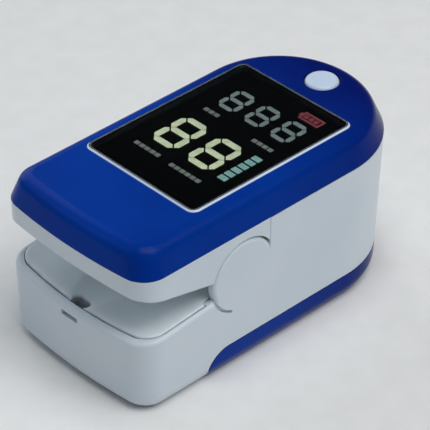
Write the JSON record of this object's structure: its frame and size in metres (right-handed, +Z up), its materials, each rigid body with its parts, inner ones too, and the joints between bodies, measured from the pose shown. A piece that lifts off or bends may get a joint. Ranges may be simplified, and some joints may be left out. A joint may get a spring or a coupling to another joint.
{
  "type": "fingertip pulse oximeter",
  "caption": "Clip-on fingertip oximeter: sprung upper shell with blue cover, dark display window and round button over a white lower jaw with a finger trough and sliding battery cover.",
  "frame": {"origin": "under the middle of the body, on the surface it rests on", "axes": "+Z up through the display, -Y towards the finger opening, +X across the body so that the display reads upright seen from the finger opening"},
  "size_m": [0.0324, 0.0612, 0.0301],
  "materials": {
    "cover_blue": "gloss",
    "housing_white": "gloss",
    "pad_grey": "satin",
    "window_black": "gloss",
    "trim_silver": "gloss",
    "module_black": "matte",
    "lit_large": "lit",
    "lit_small": "lit",
    "lit_teal": "lit",
    "lit_red": "lit",
    "print_grey": "matte",
    "board_green": "satin",
    "chip_black": "matte",
    "button_white": "gloss",
    "nickel_steel": "satin",
    "spring_steel": "satin",
    "cell_jacket": "satin",
    "tray_grey": "matte",
    "flex_amber": "satin",
    "lens_clear": "gloss",
    "diode_dark": "gloss",
    "led_epoxy": "gloss"
  },
  "bodies": {
    "root": {"lower_housing": "housing_white", "battery_tray": "tray_grey", "lower_finger_pad": "pad_grey", "sensor_board": "board_green", "photodiode": "diode_dark", "sensor_window": "lens_clear", "sensor_flex": "flex_amber", "battery_left": "cell_jacket", "battery_right": "cell_jacket", "contact_springs": "spring_steel", "contact_plates": "nickel_steel", "tray_screws": "nickel_steel", "hinge_pin": "nickel_steel", "torsion_springs": "spring_steel"},
    "upper_shell": {"upper_housing": "housing_white", "upper_finger_pad": "pad_grey", "emitter_board": "board_green", "emitter_leds": "led_epoxy", "emitter_window": "lens_clear", "top_cover": "cover_blue", "window_trim": "trim_silver", "display_window": "window_black", "display_module": "module_black", "large_digits": "lit_large", "small_digits": "lit_small", "pulse_bars": "lit_teal", "battery_icon": "lit_red", "display_labels": "print_grey", "main_board": "board_green", "board_chips": "chip_black", "tact_switch": "nickel_steel", "cover_screws": "nickel_steel"},
    "button": {"power_button": "button_white", "switch_plunger": "chip_black"},
    "battery_door": {"battery_cover": "cover_blue"}
  },
  "joints": [
    {"name": "clamp_hinge", "type": "hinge", "parent": "root", "child": "upper_shell", "pos_m": [0, 0.0266, 0.024], "axis": [-1, 0, 0], "range_deg": [0, 12], "stiffness_Nm_per_rad": 0.2, "springref_deg": -17.19, "deforming": ["torsion_springs", "sensor_flex"]},
    {"name": "button_press", "type": "slide", "parent": "upper_shell", "child": "button", "axis": [0, 0, -1], "range_m": [0, 0.0005], "stiffness_N_per_m": 3000, "springref_m": -0.0002},
    {"name": "door_slide", "type": "slide", "parent": "root", "child": "battery_door", "axis": [0, 1, 0], "range_m": [0, 0.012]}
  ]
}
